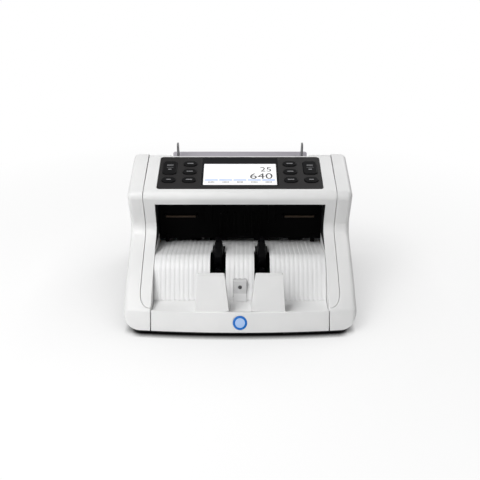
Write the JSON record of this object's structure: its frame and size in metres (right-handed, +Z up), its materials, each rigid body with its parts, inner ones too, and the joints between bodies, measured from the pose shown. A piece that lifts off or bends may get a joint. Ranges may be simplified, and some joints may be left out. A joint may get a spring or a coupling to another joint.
{
  "type": "banknote counter",
  "caption": "Desktop banknote counter: white moulded shell, rear note hopper, sloping key panel with a lit display, and a front stacker with a ribbed ramp and fingered wheels.",
  "frame": {"origin": "on the table under the middle of the machine's outline", "axes": "+X to the user's right across the width, +Y from the stacker at the front to the back, +Z up"},
  "size_m": [0.297, 0.25, 0.184],
  "materials": {
    "white_shell": "fine moulded texture",
    "ramp_white": "satin moulded",
    "badge_blue": "gloss",
    "sensor_lens": "gloss, dark",
    "panel_charcoal": "satin film",
    "display_white": "clear front, lit white",
    "key_black": "semi-gloss",
    "board_green": "solder mask",
    "inner_black": "satin moulded",
    "rod_beige": "satin",
    "hopper_grey": "satin moulded",
    "guide_grey": "satin moulded",
    "plate_steel": "zinc plated",
    "shaft_steel": "ground",
    "bearing_brass": "sintered",
    "motor_steel": "dark grey can",
    "belt_rubber": "matt",
    "roller_rubber": "matt",
    "feed_rubber": "matt",
    "pulley_white": "moulded",
    "wheel_black": "semi-gloss",
    "base_black": "powder coat",
    "foot_rubber": "matt",
    "fitting_black": "satin moulded"
  },
  "bodies": {
    "chassis": {"base_plate": "base_black", "rubber_feet": "foot_rubber", "left_side_cover": "white_shell", "right_side_cover": "white_shell", "upper_housing": "white_shell", "rear_cover": "white_shell", "stacker_tray": "white_shell", "stacker_ramp": "ramp_white", "blank_badge": "badge_blue", "stack_sensor": "ramp_white", "stack_sensor_lens": "sensor_lens", "control_panel": "panel_charcoal", "display_window": "display_white", "display_board": "board_green", "upper_guide": "inner_black", "guide_rods": "rod_beige", "lower_guide": "inner_black", "hopper_plate": "hopper_grey", "left_side_plate": "plate_steel", "right_side_plate": "plate_steel", "tie_rods": "shaft_steel", "shaft_bearings": "bearing_brass", "drive_motor": "motor_steel", "transport_belt": "belt_rubber", "stacker_belt": "belt_rubber", "feed_belt": "belt_rubber", "kicker_belt": "belt_rubber", "power_board": "board_green", "main_board": "board_green", "power_inlet": "fitting_black", "switch_bezel": "fitting_black", "retard_block": "inner_black", "retard_roller": "feed_rubber", "base_screws": "shaft_steel"},
    "transport": {"drum_shaft": "shaft_steel", "drum_rollers": "roller_rubber", "drum_pulleys": "pulley_white"},
    "motor_rotor": {"motor_pulley": "shaft_steel"},
    "stacker": {"stacker_shaft": "shaft_steel", "left_stacker_wheel": "wheel_black", "right_stacker_wheel": "wheel_black", "stacker_pulley": "pulley_white"},
    "feed": {"feed_shaft": "shaft_steel", "feed_rollers": "feed_rubber", "feed_pulleys": "pulley_white"},
    "kicker": {"kicker_rollers": "feed_rubber"},
    "pinch": {"pinch_rollers": "roller_rubber"},
    "left_guide": {"left_note_guide": "guide_grey"},
    "right_guide": {"right_note_guide": "guide_grey"},
    "rocker": {"power_rocker": "fitting_black"},
    "left_large_key": {"left_large_key": "key_black"},
    "left_corner_key": {"left_corner_key": "key_black"},
    "left_front_key": {"left_front_key": "key_black"},
    "left_middle_key": {"left_middle_key": "key_black"},
    "left_rear_key": {"left_rear_key": "key_black"},
    "right_large_key": {"right_large_key": "key_black"},
    "right_corner_key": {"right_corner_key": "key_black"},
    "right_front_key": {"right_front_key": "key_black"},
    "right_middle_key": {"right_middle_key": "key_black"},
    "right_rear_key": {"right_rear_key": "key_black"}
  },
  "joints": [
    {"name": "transport_spin", "type": "hinge", "parent": "chassis", "child": "transport", "pos_m": [0, 0.058, 0.04218], "axis": [1, 0, 0], "continuous": true},
    {"name": "motor_rotor_spin", "type": "hinge", "parent": "chassis", "child": "motor_rotor", "pos_m": [0, 0.096, 0.0315], "axis": [1, 0, 0], "continuous": true},
    {"name": "stacker_spin", "type": "hinge", "parent": "chassis", "child": "stacker", "pos_m": [0, -0.019, 0.05], "axis": [1, 0, 0], "continuous": true},
    {"name": "feed_spin", "type": "hinge", "parent": "chassis", "child": "feed", "pos_m": [0, 0.09735, 0.08657], "axis": [1, 0, 0], "continuous": true},
    {"name": "kicker_spin", "type": "hinge", "parent": "chassis", "child": "kicker", "pos_m": [0, 0.10353, 0.11447], "axis": [1, 0, 0], "continuous": true},
    {"name": "pinch_spin", "type": "hinge", "parent": "chassis", "child": "pinch", "pos_m": [0, 0.058, 0.06658], "axis": [1, 0, 0], "continuous": true},
    {"name": "left_guide_slide", "type": "slide", "parent": "chassis", "child": "left_guide", "axis": [1, 0, 0], "range_m": [-0.003, 0.034]},
    {"name": "right_guide_slide", "type": "slide", "parent": "chassis", "child": "right_guide", "axis": [-1, 0, 0], "range_m": [-0.003, 0.034]},
    {"name": "rocker_tilt", "type": "hinge", "parent": "chassis", "child": "rocker", "pos_m": [-0.038, 0.1195, 0.0305], "axis": [1, 0, 0], "range_deg": [-16, 0]},
    {"name": "left_large_key_press", "type": "slide", "parent": "chassis", "child": "left_large_key", "axis": [0, 0.2215, -0.9751], "range_m": [0, 0.0006], "stiffness_N_per_m": 300},
    {"name": "left_corner_key_press", "type": "slide", "parent": "chassis", "child": "left_corner_key", "axis": [0, 0.2215, -0.9751], "range_m": [0, 0.0006], "stiffness_N_per_m": 300},
    {"name": "left_front_key_press", "type": "slide", "parent": "chassis", "child": "left_front_key", "axis": [0, 0.2215, -0.9751], "range_m": [0, 0.0006], "stiffness_N_per_m": 300},
    {"name": "left_middle_key_press", "type": "slide", "parent": "chassis", "child": "left_middle_key", "axis": [0, 0.2215, -0.9751], "range_m": [0, 0.0006], "stiffness_N_per_m": 300},
    {"name": "left_rear_key_press", "type": "slide", "parent": "chassis", "child": "left_rear_key", "axis": [0, 0.2215, -0.9751], "range_m": [0, 0.0006], "stiffness_N_per_m": 300},
    {"name": "right_large_key_press", "type": "slide", "parent": "chassis", "child": "right_large_key", "axis": [0, 0.2215, -0.9751], "range_m": [0, 0.0006], "stiffness_N_per_m": 300},
    {"name": "right_corner_key_press", "type": "slide", "parent": "chassis", "child": "right_corner_key", "axis": [0, 0.2215, -0.9751], "range_m": [0, 0.0006], "stiffness_N_per_m": 300},
    {"name": "right_front_key_press", "type": "slide", "parent": "chassis", "child": "right_front_key", "axis": [0, 0.2215, -0.9751], "range_m": [0, 0.0006], "stiffness_N_per_m": 300},
    {"name": "right_middle_key_press", "type": "slide", "parent": "chassis", "child": "right_middle_key", "axis": [0, 0.2215, -0.9751], "range_m": [0, 0.0006], "stiffness_N_per_m": 300},
    {"name": "right_rear_key_press", "type": "slide", "parent": "chassis", "child": "right_rear_key", "axis": [0, 0.2215, -0.9751], "range_m": [0, 0.0006], "stiffness_N_per_m": 300}
  ],
  "couplings": [
    {"joint": "motor_rotor_spin", "follows": "transport_spin", "ratio": 1.4286},
    {"joint": "stacker_spin", "follows": "transport_spin", "ratio": 0.5},
    {"joint": "feed_spin", "follows": "transport_spin", "ratio": 0.8},
    {"joint": "kicker_spin", "follows": "transport_spin", "ratio": 0.93333},
    {"joint": "pinch_spin", "follows": "transport_spin", "ratio": -1.4}
  ]
}
